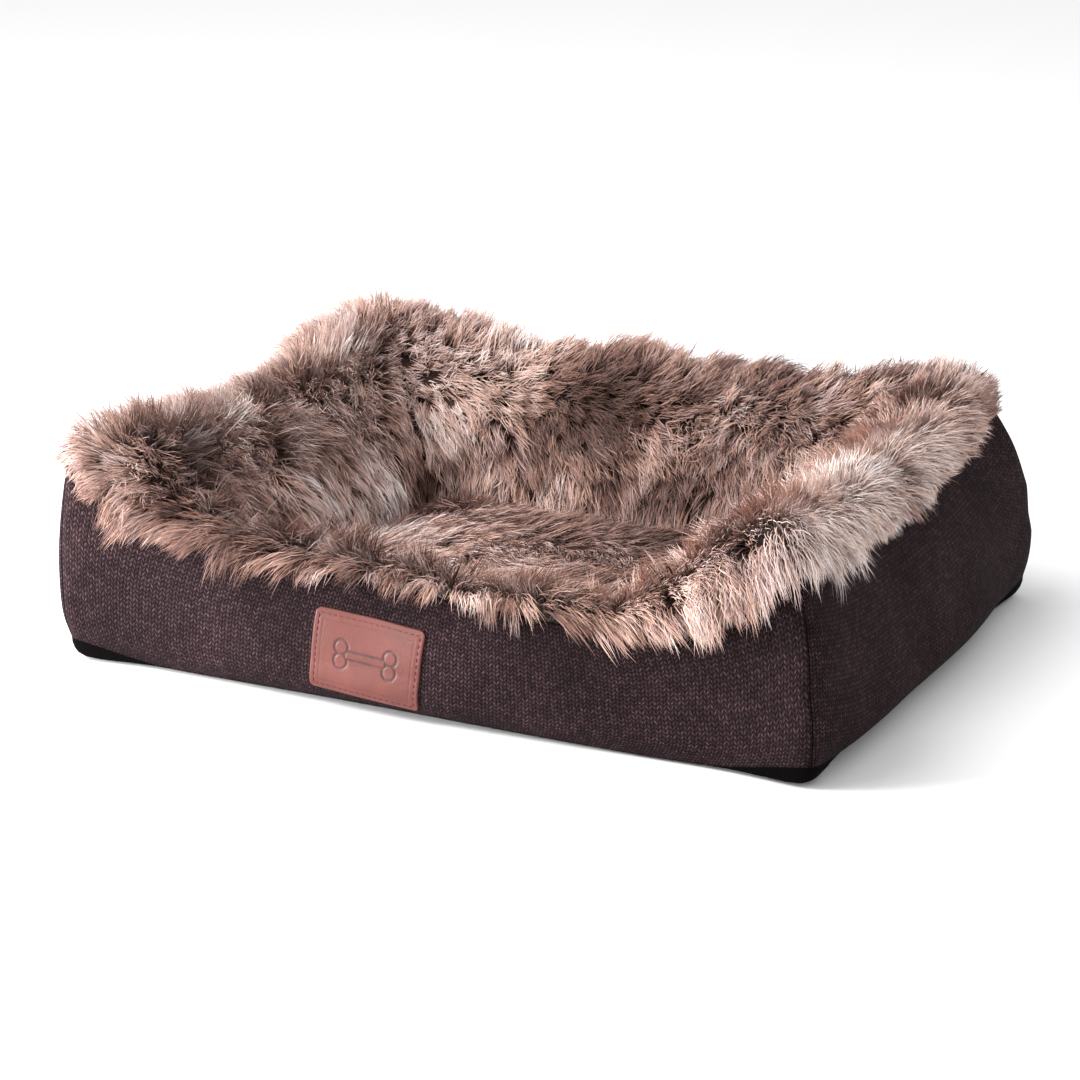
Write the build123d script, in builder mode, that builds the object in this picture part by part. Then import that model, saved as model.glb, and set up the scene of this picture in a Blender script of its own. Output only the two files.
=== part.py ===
"""Rectangular pet bed: four stuffed bolster walls around a nest with a loose zipped cushion.

Frame: millimetres, +X to the right, +Z up, the entry dip on the -Y side, and the
origin on the floor under the middle of the bed.
"""
from build123d import *
import os

# Overall plan, measured between the stitched corners; the walls bow out between them
WIDTH, DEPTH = 552, 409
SIDE_BOW, END_BOW = 24, 10  # how far the side walls, and the front and back walls, bow out
CORNER_EDGE, CORNER_CREST = 149, 184  # heights of the woven panel and of the pile at a corner
SIDE_EDGE, SIDE_CREST = 126, 163  # the same, halfway along a side wall
BACK_EDGE, BACK_CREST = 130, 166  # the same, halfway along the back wall

# Nest at floor level: the clear plan left between the pile of the four walls
NEST_HALF_WIDTH, NEST_FRONT, NEST_BACK = 140, -143, 94

# Entry dip in the front wall: place along X, height of the woven edge, height of the pile
DIP = [
    (-226, 107, 133),
    (-160, 96, 119),
    (-60, 89, 109),
    (60, 83, 103),
    (146, 80, 102),
    (204, 100, 126),
    (240, 122, 152),
]

# Thicknesses
WOVEN = 1.2  # outer wall cloth
SEAM = 0.15  # left between one sewn layer and the next
PILE = 18  # backing and fur together, at the top of a wall
SKIN_SHARE = 0.88  # part of a wall's foot that is filling, the rest being pile
BASE = 1.2  # anti-slip cloth under the whole bed
PAD_TOP = 10.8  # wadding sheet over the base cloth
FLOOR = 12.0  # top of the thin lining cloth over the wadding
BASE_INSET = 14  # how far the bottom edge is rolled in from the corner plan
EDGE_LEAN = 6  # how far the woven panel's top edge leans in
FOOT_TUCK = 2  # how far a wall's outline ends inside its filling, which is cut out of it
BELOW, OUTSIDE, BEHIND = -60, -160, 20  # reach of the tools that cut one layer from another

# Base cloth: how far it lies inside the corner plan at its corners, and halfway along its edges
BASE_CORNER_IN, BASE_SIDE_IN, BASE_END_IN, BASE_RADIUS = 8, 1, 4, 12

# Patch on the front wall
PATCH_WIDTH, PATCH_HEIGHT, PATCH_THICK = 85, 57, 1.6
PATCH_X, PATCH_Z, PATCH_RADIUS = -37, 39.5, 5
STITCH_INSET, STITCH_LONG, STITCH_WIDE, STITCH_PROUD = 3.6, 3.4, 0.7, 0.35
STITCH_PITCH = 5.6
THREAD_CLEAR = 0.02  # between the leather and the thread
PATCH_AHEAD, PATCH_REACH = 60, 75  # its outline is drawn this far ahead, and cuts this deep

# Loose cushion
CUSHION_GAP, CUSHION_BACK_GAP = 3, 9  # clear of the walls; the zip lies in the back gap
LIFT_GAP = 0.3  # under the cushion
CUSHION_TOP, FILL_TOP, COVER_TOP = 77, 59, 42
CUSHION_RADIUS, COVER_THICK = 38, 1.0
FUR_ROUND, COVER_ROUND = 20, 7  # rounding of the top and bottom edges
FILL_TOP_ROUND, FILL_BOTTOM_ROUND = 14, 6

# Zip along the cushion's back side
ZIP_Z, TAPE_HIGH, TAPE_THICK = 31, 18, 0.7
TAPE_LONG, COIL_LONG, COIL_HIGH, COIL_THICK = 176, 164, 5.0, 1.2
SLIDER_LONG, SLIDER_HIGH, SLIDER_THICK = 10, 9, 2.9
SLIDER_CLEAR, SLIDER_RADIUS, SLIDER_REST = 0.25, 2, 2  # it rests this far from the coil's end
COIL_ROUND = 0.4
STOP_LONG, STOP_HIGHER, STOP_PROUD, STOP_GAP = 2.4, 1, 0.2, 0.8
POST_RADIUS, POST_CLEAR, TAB_THICK = 1.1, 0.08, 0.9
POST_HEAD, POST_HEAD_THICK = 1.9, 0.6  # the head's radius and thickness
TAB_LONG, TAB_WIDE, TAB_RADIUS = 13, 6, 2.4
TAB_END = 2  # from the post to the tab's near end
TAB_HOLE_LONG, TAB_HOLE_WIDE, TAB_HOLE_DROP = 4.5, 2, 7.5

CORNER_X, CORNER_Y = WIDTH / 2, DEPTH / 2
SIDE_WALL = CORNER_X - NEST_HALF_WIDTH
FRONT_WALL = CORNER_Y + NEST_FRONT
BACK_WALL = CORNER_Y - NEST_BACK

os.makedirs("parts", exist_ok=True)


def save(piece, name):
    piece.label = name
    export_step(piece, f"parts/{name}.step")


# A wall's section, drawn with x running inward from the corner plan and y running up.
# Each outline starts at the woven panel's top edge, the one vertex that stands apart from the
# others, so that the outlines of a wall line up when they are lofted.


def woven_curve(bow, edge, inward=0.0):
    """The woven panel's face from its foot, rolled in under the base, to its leaning top edge."""
    shape = [(BASE_INSET, 0.5, 0), (4, 0.9, 0.11), (0, 1, 0.36), (1.5, 0.7, 0.7),
             (EDGE_LEAN, 0.0, 1)]
    return [(x - k * bow + inward, BASE + share * (edge - BASE)) for x, k, share in shape]


def pile_curve(width, edge, crest):
    """The tips of the fur, from the woven edge over the rim and down to the nest floor."""
    start, high = EDGE_LEAN, crest - FLOOR
    across = width - start
    return [
        (start, edge),
        (start - 7, edge + 0.35 * (crest - edge)),
        (start + 2, crest - 6),
        (start + 0.25 * across, crest),
        (start + 0.52 * across, crest - 0.13 * high),
        (start + 0.84 * across, crest - 0.46 * high),
        (width - 0.5, FLOOR + 0.25 * high),
        (width, FLOOR),
    ]


def skin_curve(width, edge, crest, under=0.0):
    """The fur's backing, where the filling begins, from the woven edge to the nest floor."""
    start, top = EDGE_LEAN + WOVEN + under, crest - PILE - under
    across, high = SKIN_SHARE * width - under - start, top - FLOOR
    return [
        (start, edge),
        (start + 0.10 * across, top - 1),
        (start + 0.30 * across, top),
        (start + 0.57 * across, top - 0.14 * high),
        (start + 0.88 * across, top - 0.48 * high),
        (start + across - 0.5, FLOOR + 0.25 * high),
        (start + across, FLOOR),
    ]


def draw_whole(at, grow=0.0):
    """The wall with all its layers, its woven face moved out by grow."""
    face, tips = woven_curve(at.bow, at.edge, -grow), pile_curve(at.width, at.edge, at.crest)
    tips[0] = face[-1]
    foot = SKIN_SHARE * at.width - FOOT_TUCK
    Spline(*tips)
    Polyline(tips[-1], (foot, FLOOR), (foot, BASE), face[0])
    Spline(*face)


def draw_fill(at, under=SEAM, bottom=BASE):
    """The filling, held back by under from the layers round it."""
    face = woven_curve(at.bow, at.edge, WOVEN + under)
    skin = skin_curve(at.width, at.edge, at.crest, under)
    Spline(*skin)
    if bottom < BASE:
        Polyline(skin[-1], (skin[-1][0], bottom), (face[0][0], bottom), face[0])
    else:
        Polyline(skin[-1], (skin[-1][0], bottom), face[0])
    Spline(*face)


def draw_below_edge(at, above=0.0):
    """Everything outside the filling and lower than the woven panel's top edge."""
    top = at.edge + above
    Polyline((BEHIND, top), (BEHIND, BELOW), (OUTSIDE, BELOW), (OUTSIDE, top), (BEHIND, top))


class Station:
    """One section plane of a wall, from a point of the corner plan to one of the nest's plan."""

    def __init__(self, outer, inner, bow, edge, crest):
        inward = Vector(inner[0] - outer[0], inner[1] - outer[1], 0)
        self.width = inward.length
        self.plane = Plane(origin=(*outer, 0), x_dir=inward, z_dir=inward.cross(Vector(0, 0, 1)))
        self.bow, self.edge, self.crest = bow, edge, crest


# Sections fan out along each wall, from one mitred corner (share -1) to the other (share 1),
# so that neighbouring walls meet on one plane. Each row: share, part of the bow, part of the
# rise from the wall's middle to its corner.
FAN = [(-1, 0, 1), (-0.6, 0.64, 0.3), (-0.2, 0.96, 0.03), (0.2, 0.96, 0.03), (0.6, 0.64, 0.3),
       (1, 0, 1)]
NEST_MIDDLE, NEST_HALF_DEEP = (NEST_BACK + NEST_FRONT) / 2, (NEST_BACK - NEST_FRONT) / 2


def side_wall(side):
    return [
        Station((side * CORNER_X, share * CORNER_Y),
                (side * NEST_HALF_WIDTH, NEST_MIDDLE + share * NEST_HALF_DEEP),
                SIDE_BOW * bow,
                SIDE_EDGE + rise * (CORNER_EDGE - SIDE_EDGE),
                SIDE_CREST + rise * (CORNER_CREST - SIDE_CREST))
        for share, bow, rise in FAN
    ]


def back_wall():
    return [
        Station((share * CORNER_X, CORNER_Y), (share * NEST_HALF_WIDTH, NEST_BACK),
                END_BOW * bow,
                BACK_EDGE + rise * (CORNER_EDGE - BACK_EDGE),
                BACK_CREST + rise * (CORNER_CREST - BACK_CREST))
        for share, bow, rise in FAN
    ]


def front_wall():
    rim = [(-CORNER_X, CORNER_EDGE, CORNER_CREST), *DIP, (CORNER_X, CORNER_EDGE, CORNER_CREST)]
    return [
        Station((x, -CORNER_Y), (x * NEST_HALF_WIDTH / CORNER_X, NEST_FRONT),
                END_BOW * (1 - (x / CORNER_X) ** 2), edge, crest)
        for x, edge, crest in rim
    ]


def loft_sections(stations, draw, *sizes):
    with BuildPart() as lofted:
        for at in stations:
            with BuildSketch(at.plane):
                with BuildLine():
                    draw(at, *sizes)
                make_face()
        loft(ruled=True, clean=False)
    return lofted.part


# The four bolster walls, each a woven panel, a fur lining and its filling
walls = {"front": front_wall(), "right": side_wall(1), "back": back_wall(), "left": side_wall(-1)}
for wall, stations in walls.items():
    whole = loft_sections(stations, draw_whole)
    core = loft_sections(stations, draw_fill, 0, BELOW)
    with BuildPart() as panel:
        add(whole)
        add(loft_sections(stations, draw_below_edge), mode=Mode.INTERSECT)
        add(core, mode=Mode.SUBTRACT)
    with BuildPart() as lining:
        add(whole)
        add(core, mode=Mode.SUBTRACT)
        add(loft_sections(stations, draw_below_edge, SEAM), mode=Mode.SUBTRACT)
    save(panel.part, f"wall_{wall}_panel")
    save(lining.part, f"fur_lining_{wall}")
    save(loft_sections(stations, draw_fill), f"bolster_fill_{wall}")

# Base cloth, wadding and floor lining
with BuildPart() as base_panel:
    with BuildSketch():
        with BuildLine():
            half_x, half_y = CORNER_X - BASE_CORNER_IN, CORNER_Y - BASE_CORNER_IN
            bow_x, bow_y = CORNER_X - BASE_SIDE_IN, CORNER_Y - BASE_END_IN
            ThreePointArc((-half_x, -half_y), (0, -bow_y), (half_x, -half_y))
            ThreePointArc((half_x, -half_y), (bow_x, 0), (half_x, half_y))
            ThreePointArc((half_x, half_y), (0, bow_y), (-half_x, half_y))
            ThreePointArc((-half_x, half_y), (-bow_x, 0), (-half_x, -half_y))
        make_face()
    extrude(amount=BASE)
    fillet(base_panel.edges().filter_by(Axis.Z), BASE_RADIUS)
save(base_panel.part, "base_panel")

pad_half_x = CORNER_X - SKIN_SHARE * SIDE_WALL
pad_front = -CORNER_Y + SKIN_SHARE * FRONT_WALL
pad_back = CORNER_Y - SKIN_SHARE * BACK_WALL
pad_centre = Location((0, (pad_front + pad_back) / 2))

with BuildPart() as base_pad:
    with BuildSketch(Plane.XY.offset(BASE)):
        with Locations(pad_centre):
            Rectangle(2 * pad_half_x, pad_back - pad_front)
    extrude(amount=PAD_TOP - BASE)
save(base_pad.part, "base_pad")

with BuildPart() as floor_lining:
    with BuildSketch(Plane.XY.offset(PAD_TOP)):
        with Locations(pad_centre):
            Rectangle(2 * pad_half_x, pad_back - pad_front)
    extrude(amount=FLOOR - PAD_TOP)
save(floor_lining.part, "floor_lining")

# Leather patch, cut to follow the front panel, with its thread standing a little proud
front_face = Plane((PATCH_X, -CORNER_Y - PATCH_AHEAD, PATCH_Z), x_dir=(1, 0, 0), z_dir=(0, -1, 0))

with BuildPart() as label_patch:
    add(loft_sections(walls["front"], draw_whole, PATCH_THICK))
    with BuildSketch(front_face):
        RectangleRounded(PATCH_WIDTH, PATCH_HEIGHT, PATCH_RADIUS)
    extrude(amount=-PATCH_REACH, mode=Mode.INTERSECT)
    add(loft_sections(walls["front"], draw_whole, SEAM), mode=Mode.SUBTRACT)
save(label_patch.part, "label_patch")

seam_width, seam_height = PATCH_WIDTH - 2 * STITCH_INSET, PATCH_HEIGHT - 2 * STITCH_INSET
across_count, up_count = round(seam_width / STITCH_PITCH), round(seam_height / STITCH_PITCH)
with BuildPart() as label_stitching:
    add(loft_sections(walls["front"], draw_whole, PATCH_THICK + STITCH_PROUD))
    with BuildSketch(front_face):
        for side in (-1, 1):
            with Locations((0, side * seam_height / 2)):
                with GridLocations(seam_width / across_count, 1, across_count, 1):
                    Rectangle(STITCH_LONG, STITCH_WIDE)
            with Locations((side * seam_width / 2, 0)):
                with GridLocations(1, seam_height / up_count, 1, up_count):
                    Rectangle(STITCH_WIDE, STITCH_LONG)
    extrude(amount=-PATCH_REACH, mode=Mode.INTERSECT)
    add(loft_sections(walls["front"], draw_whole, PATCH_THICK + THREAD_CLEAR), mode=Mode.SUBTRACT)
save(label_stitching.part, "label_stitching")

# Loose cushion: cloth cover below, fur above, filling inside
cushion_bottom = FLOOR + LIFT_GAP
cushion_wide = 2 * (NEST_HALF_WIDTH - CUSHION_GAP)
cushion_front, cushion_back = NEST_FRONT + CUSHION_GAP, NEST_BACK - CUSHION_BACK_GAP
cushion_deep = cushion_back - cushion_front
cushion_centre = Location((0, (cushion_front + cushion_back) / 2))

with BuildPart() as cushion_fill:
    with BuildSketch(Plane.XY.offset(cushion_bottom + COVER_THICK)):
        with Locations(cushion_centre):
            RectangleRounded(cushion_wide - 2 * COVER_THICK, cushion_deep - 2 * COVER_THICK,
                             CUSHION_RADIUS - COVER_THICK)
    extrude(amount=FILL_TOP - cushion_bottom - COVER_THICK)
    fillet(cushion_fill.faces().sort_by(Axis.Z)[-1].edges(), FILL_TOP_ROUND)
    fillet(cushion_fill.faces().sort_by(Axis.Z)[0].edges(), FILL_BOTTOM_ROUND)
save(cushion_fill.part, "cushion_fill")

with BuildPart() as cushion_base_cover:
    with BuildSketch(Plane.XY.offset(cushion_bottom)):
        with Locations(cushion_centre):
            RectangleRounded(cushion_wide, cushion_deep, CUSHION_RADIUS)
    extrude(amount=COVER_TOP - cushion_bottom)
    fillet(cushion_base_cover.faces().sort_by(Axis.Z)[0].edges(), COVER_ROUND)
    add(cushion_fill.part, mode=Mode.SUBTRACT)
save(cushion_base_cover.part, "cushion_base_cover")

with BuildPart() as cushion_fur_top:
    with BuildSketch(Plane.XY.offset(COVER_TOP)):
        with Locations(cushion_centre):
            RectangleRounded(cushion_wide, cushion_deep, CUSHION_RADIUS)
    extrude(amount=CUSHION_TOP - COVER_TOP)
    fillet(cushion_fur_top.faces().sort_by(Axis.Z)[-1].edges(), FUR_ROUND)
    add(cushion_fill.part, mode=Mode.SUBTRACT)
save(cushion_fur_top.part, "cushion_fur_top")

# Zip on the cushion's back side; its sketches face +Y, so sketch x runs along -X
zip_face = Plane((0, cushion_back, ZIP_Z), x_dir=(-1, 0, 0), z_dir=(0, 1, 0))
coil_face = zip_face.offset(TAPE_THICK)
slider_x = COIL_LONG / 2 - SLIDER_LONG / 2 - SLIDER_REST  # closed, near the coil's right end
slider_face = Plane((slider_x, cushion_back + TAPE_THICK + SLIDER_CLEAR, ZIP_Z),
                    x_dir=(-1, 0, 0), z_dir=(0, 1, 0))

with BuildPart() as zip_tape:
    with BuildSketch(zip_face):
        Rectangle(TAPE_LONG, TAPE_HIGH)
    extrude(amount=TAPE_THICK)
save(zip_tape.part, "zip_tape")

with BuildPart() as zip_coil:
    with BuildSketch(coil_face):
        SlotOverall(COIL_LONG, COIL_HIGH)
    extrude(amount=COIL_THICK)
    fillet(zip_coil.faces().sort_by(Axis.Y)[-1].edges(), COIL_ROUND)
save(zip_coil.part, "zip_coil")

stop_x = COIL_LONG / 2 + STOP_LONG / 2 + STOP_GAP
with BuildPart() as zip_stops:
    with BuildSketch(coil_face):
        with Locations((-stop_x, 0), (stop_x, 0)):
            Rectangle(STOP_LONG, COIL_HIGH + STOP_HIGHER)
    extrude(amount=COIL_THICK + STOP_PROUD)
save(zip_stops.part, "zip_stops")

with BuildPart() as zip_slider:
    with BuildSketch(slider_face):
        RectangleRounded(SLIDER_LONG, SLIDER_HIGH, SLIDER_RADIUS)
    extrude(amount=SLIDER_THICK)
    with BuildSketch(slider_face):
        Rectangle(SLIDER_LONG + 1, COIL_HIGH + 2 * SLIDER_CLEAR)
    extrude(amount=COIL_THICK, mode=Mode.SUBTRACT)
    with BuildSketch(slider_face.offset(SLIDER_THICK)):
        Circle(POST_RADIUS)
    extrude(amount=TAB_THICK + 2 * POST_CLEAR)
    with BuildSketch(slider_face.offset(SLIDER_THICK + TAB_THICK + 2 * POST_CLEAR)):
        Circle(POST_HEAD)
    extrude(amount=POST_HEAD_THICK)
save(zip_slider.part, "zip_slider")

with BuildPart() as zip_pull_tab:
    with BuildSketch(slider_face.offset(SLIDER_THICK + POST_CLEAR)):
        with Locations((0, TAB_END - TAB_LONG / 2)):
            RectangleRounded(TAB_WIDE, TAB_LONG, TAB_RADIUS)
        Circle(POST_RADIUS + POST_CLEAR, mode=Mode.SUBTRACT)
        with Locations((0, -TAB_HOLE_DROP)):
            SlotOverall(TAB_HOLE_LONG, TAB_HOLE_WIDE, rotation=90, mode=Mode.SUBTRACT)
    extrude(amount=TAB_THICK)
save(zip_pull_tab.part, "zip_pull_tab")
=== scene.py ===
# Pet cushion bed: four stuffed woven walls lined with long-pile fur, and a loose zipped cushion.
from math import pi, radians, sin, cos

import bpy
import numpy as np
from mathutils import Matrix, Vector
from mathutils.bvhtree import BVHTree


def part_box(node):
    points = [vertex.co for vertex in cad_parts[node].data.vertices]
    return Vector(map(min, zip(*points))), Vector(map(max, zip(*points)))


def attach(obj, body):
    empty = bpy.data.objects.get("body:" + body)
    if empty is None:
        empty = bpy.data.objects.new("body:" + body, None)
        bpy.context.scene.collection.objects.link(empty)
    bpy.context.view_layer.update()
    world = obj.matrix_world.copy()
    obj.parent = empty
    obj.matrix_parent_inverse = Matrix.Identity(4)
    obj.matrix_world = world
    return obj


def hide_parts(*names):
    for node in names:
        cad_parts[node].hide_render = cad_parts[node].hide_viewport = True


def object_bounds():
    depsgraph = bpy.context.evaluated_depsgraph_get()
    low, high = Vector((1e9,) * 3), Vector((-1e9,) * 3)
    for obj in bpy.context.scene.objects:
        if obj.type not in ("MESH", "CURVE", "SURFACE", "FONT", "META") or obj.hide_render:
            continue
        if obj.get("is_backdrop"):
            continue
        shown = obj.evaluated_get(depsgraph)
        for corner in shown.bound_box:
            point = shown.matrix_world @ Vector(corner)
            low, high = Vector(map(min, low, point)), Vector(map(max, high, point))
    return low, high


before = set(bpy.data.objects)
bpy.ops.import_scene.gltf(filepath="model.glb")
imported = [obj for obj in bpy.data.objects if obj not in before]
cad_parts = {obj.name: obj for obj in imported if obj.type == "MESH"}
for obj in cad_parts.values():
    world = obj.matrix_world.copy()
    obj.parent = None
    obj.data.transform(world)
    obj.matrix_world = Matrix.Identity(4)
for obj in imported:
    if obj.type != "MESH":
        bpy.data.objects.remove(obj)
cad_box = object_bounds()

MM = 0.001
WALLS = ("front", "right", "back", "left")
draw = np.random.default_rng(20)

# ---- Sizes in millimetres, as the CAD sections have them ----
WIDTH, DEPTH = 552, 409
SIDE_BOW, END_BOW = 24, 10
CORNER_EDGE, CORNER_CREST = 149, 184
SIDE_EDGE, SIDE_CREST = 126, 163
BACK_EDGE, BACK_CREST = 130, 166
NEST_HALF_WIDTH, NEST_FRONT, NEST_BACK = 140, -143, 94
DIP = [(-226, 107, 133), (-160, 96, 119), (-60, 89, 109), (60, 83, 103), (146, 80, 102),
       (204, 100, 126), (240, 122, 152)]
WOVEN, PILE, SKIN_SHARE = 1.2, 18, 0.88
BASE, FLOOR = 1.2, 12.0
BASE_INSET, EDGE_LEAN = 14, 6
CORNER_X, CORNER_Y = WIDTH / 2, DEPTH / 2

# ---- Looks, in millimetres too ----
STEP = 3.0  # between the columns of the walls' grids
CORNER_ROUND = 7.0  # how softly the walls turn at the corners
# How far each stuffed corner stands out, from the front left anticlockwise: at the woven
# panels' belly and at the fur's edge, over this reach
BELLY_OUT, EDGE_OUT, OUT_REACH = (10, 14, 20, 6), (11, 5, -3, -4), 46
# How far the foot spreads, at places counted in walls from the front left corner
FOOT_OUT = [(0, 0), (0.4, 6), (0.8, 14), (1, 9), (1.5, 7), (2, 10), (3, 3), (4, 0)]
FOOT_LIFT, FOOT_LIFT_REACH = 15, 42  # the woven foot rises this much at a corner, over this reach
ROW_HIGH, CHEVRON_LEG, CHEVRON_LEAN = 3.0, 2.6, 0.95  # the weave: rows of zigzag yarns
PATCH_TILT, BONE_SCALE = radians(-4), 1.12
SEAM_ALLOWANCE = 5
PILE_BACKING, LINING, COVER, TAPE = 1.0, 0.6, 0.8, 0.5  # how thick these cloths are

# ---- Camera, in metres ----
CAMERA_TURN, CAMERA_RISE, CAMERA_AWAY = radians(25.3784), radians(18.4075), 2.606774
AIM_HEIGHT, AIM_LEFT, AIM_DOWN = 0.0736, 0.007313, 0.007343


# ---- Camera, light and floor ----
def make_camera():
    right = Vector((cos(CAMERA_TURN), sin(CAMERA_TURN), 0))
    level = Vector((sin(CAMERA_TURN), -cos(CAMERA_TURN), 0))
    back = level * cos(CAMERA_RISE) + Vector((0, 0, sin(CAMERA_RISE)))
    up = back.cross(right)
    target = Vector((0, 0, AIM_HEIGHT)) - AIM_LEFT * right - AIM_DOWN * up
    data = bpy.data.cameras.new("camera")
    data.lens, data.sensor_width = 120, 36
    camera = bpy.data.objects.new("camera", data)
    turn = Matrix((right, up, back)).transposed().to_4x4()
    camera.matrix_world = Matrix.Translation(target + CAMERA_AWAY * back) @ turn
    bpy.context.scene.collection.objects.link(camera)
    bpy.context.scene.camera = camera


def area_light(name, place, aim, size, watts):
    data = bpy.data.lights.new(name, "AREA")
    data.shape, data.size, data.energy = "DISK", size, watts
    lamp = bpy.data.objects.new(name, data)
    lamp.location, lamp.visible_camera = place, False
    lamp.rotation_euler = (Vector(aim) - Vector(place)).to_track_quat("-Z", "Y").to_euler()
    bpy.context.scene.collection.objects.link(lamp)


def make_stage():
    world = bpy.data.worlds.new("studio")
    bpy.context.scene.world = world
    world.use_nodes = True
    sky = world.node_tree.nodes["Background"]
    sky.inputs["Color"].default_value, sky.inputs["Strength"].default_value = (1, 1, 1, 1), 0.84
    area_light("key", (-1.5, -1.0, 1.4), (0, 0, 0.05), 0.8, 44)
    area_light("left", (-0.76, -0.60, 0.13), (-0.28, -0.2, 0.05), 0.25, 12)
    area_light("top", (-0.5, -0.4, 1.9), (0, 0, 0.05), 1.0, 22)
    far, under = 30, -0.0004
    corners = [(-far, -far, under), (far, -far, under), (far, far, under), (-far, far, under)]
    floor = mesh_object("studio_floor", corners, [[[0, 1, 2, 3]]])
    shade = Shade("pale_floor", Roughness=0.9)
    ground = shade.node("TexNoise", {"Scale": 0.5, "Detail": 1.0})
    shade.colour(shade.ramp(ground, [(0, (247, 247, 248)), (1, (251, 251, 252))]))
    floor.data.materials.append(shade.material)
    floor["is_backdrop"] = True
    bpy.context.scene.view_settings.view_transform = "Standard"


# ---- Meshes from arrays ----
def mesh_object(name, points, faces, layers=None):
    """A smooth mesh object from points and lists of faces, each with one number of corners.
    layers are UV layers by name, given for each point."""
    mesh = bpy.data.meshes.new(name)
    points = np.asarray(points, np.float32).reshape(-1, 3)
    faces = [np.asarray(part, np.int32) for part in faces]
    loops = np.concatenate([part.ravel() for part in faces])
    sizes = np.concatenate([np.full(len(part), part.shape[1], np.int32) for part in faces])
    starts = np.concatenate([[0], np.cumsum(sizes)[:-1]]).astype(np.int32)
    mesh.vertices.add(len(points))
    mesh.vertices.foreach_set("co", points.ravel())
    mesh.loops.add(len(loops))
    mesh.loops.foreach_set("vertex_index", loops)
    mesh.polygons.add(len(sizes))
    mesh.polygons.foreach_set("loop_start", starts)
    mesh.polygons.foreach_set("loop_total", sizes)
    mesh.polygons.foreach_set("use_smooth", np.full(len(sizes), True))
    for layer, places in (layers or {}).items():
        made = mesh.uv_layers.new(name=layer)
        made.data.foreach_set("uv", np.asarray(places, np.float32)[loops].ravel())
    mesh.update(calc_edges=True)
    made = bpy.data.objects.new(name, mesh)
    bpy.context.scene.collection.objects.link(made)
    return made


def grid_faces(columns, rows, wrap=False, first=0, flip=False):
    """Quads of a grid whose points run row by row within each column."""
    across = np.arange(columns if wrap else columns - 1)
    left, low = (part.ravel() for part in np.meshgrid(across, np.arange(rows - 1), indexing="ij"))
    right = (left + 1) % columns
    quads = np.stack([left * rows + low, right * rows + low,
                      right * rows + low + 1, left * rows + low + 1], 1) + first
    return quads[:, ::-1] if flip else quads


def spans(columns, rows, first=0):
    """Shares from first to 1 across a grid's columns and up its rows."""
    return np.meshgrid(np.linspace(first, 1, columns), np.linspace(first, 1, rows), indexing="ij")


def cloth_sheet(name, grid, thick, offset=-1, flip=False, layers=None):
    """Cloth on a grid of points, with its thickness in metres to one side."""
    columns, rows = grid.shape[:2]
    layers = layers or {"OFBake": np.stack(spans(columns, rows), -1).reshape(-1, 2)}
    made = mesh_object(name, grid, [grid_faces(columns, rows, flip=flip)], layers)
    modifier = made.modifiers.new("thickness", "SOLIDIFY")
    modifier.thickness, modifier.offset = thick, offset
    return made


def slab(name, front, back):
    """A closed block between two grids of points."""
    columns, rows = front.shape[:2]
    first = columns * rows
    rim = np.concatenate([np.arange(columns) * rows, (columns - 1) * rows + np.arange(1, rows),
                          np.arange(columns - 2, -1, -1) * rows + rows - 1,
                          np.arange(rows - 2, 0, -1)])
    after = np.roll(rim, -1)
    side = np.stack([rim + first, after + first, after, rim], 1)
    return mesh_object(name, np.concatenate([front.reshape(-1, 3), back.reshape(-1, 3)]),
                       [grid_faces(columns, rows),
                        grid_faces(columns, rows, first=first, flip=True), side])


def tubes(name, lines, thick, across, lift, sides, capped=False):
    """Round tubes along lines of points, with a radius and two cross directions at each point."""
    count, steps = lines.shape[:2]
    angle = (np.arange(sides) * 2 * pi / sides)[:, None, None]
    out = np.cos(angle) * across[:, None] + np.sin(angle) * lift[:, None]
    points = lines[:, None] + np.broadcast_to(thick, (count, steps))[:, None, :, None] * out
    starts = (np.arange(count) * sides * steps)[:, None, None]
    faces = [(starts + grid_faces(sides, steps, wrap=True)).reshape(-1, 4)]
    if capped:
        end = np.arange(sides) * steps
        faces.append((starts + np.stack([end[::-1], end + steps - 1])).reshape(-1, sides))
    return mesh_object(name, points, faces)


def set_values(piece, name, values):
    """A number for each point, that a material reads by this name."""
    attribute = piece.data.attributes.new(name, "FLOAT", "POINT")
    attribute.data.foreach_set("value", np.asarray(values, np.float32).ravel())


def unit(vectors):
    return vectors / np.maximum(np.linalg.norm(vectors, axis=-1, keepdims=True), 1e-12)


def lengths(line):
    """How far along a line of points each of them lies."""
    return np.concatenate([[0], np.cumsum(np.linalg.norm(np.diff(line, axis=0), axis=1))])


def ripple(points, size, seed, waves=10):
    """Smooth noise from about -1 to 1 whose features are about size across."""
    pick = np.random.default_rng(seed)
    aims = unit(pick.normal(size=(waves, 3))) * pick.uniform(0.6, 1.5, (waves, 1))
    phases = pick.uniform(0, 2 * pi, waves)
    return np.sin(points @ aims.T * (pi / size) + phases).sum(-1) / np.sqrt(waves) * 0.9


def cut_sheet(grid):
    """Works out the rectangle a shaped panel is cut from and the cut's own area, with allowances;
    nothing is returned.
    """
    steps, both = (np.diff(grid, axis=0), np.diff(grid, axis=1)), 2 * SEAM_ALLOWANCE * MM
    across, high = (np.linalg.norm(step, axis=2).sum(k).max() + both for k, step in enumerate(steps))
    area = np.linalg.norm(np.cross(steps[0][:, 1:], steps[1][1:]), axis=2).sum()


def finish_piece(piece, body, node, shade):
    piece.data.materials.append(shade)
    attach(piece, body)
    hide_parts(node)


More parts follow.
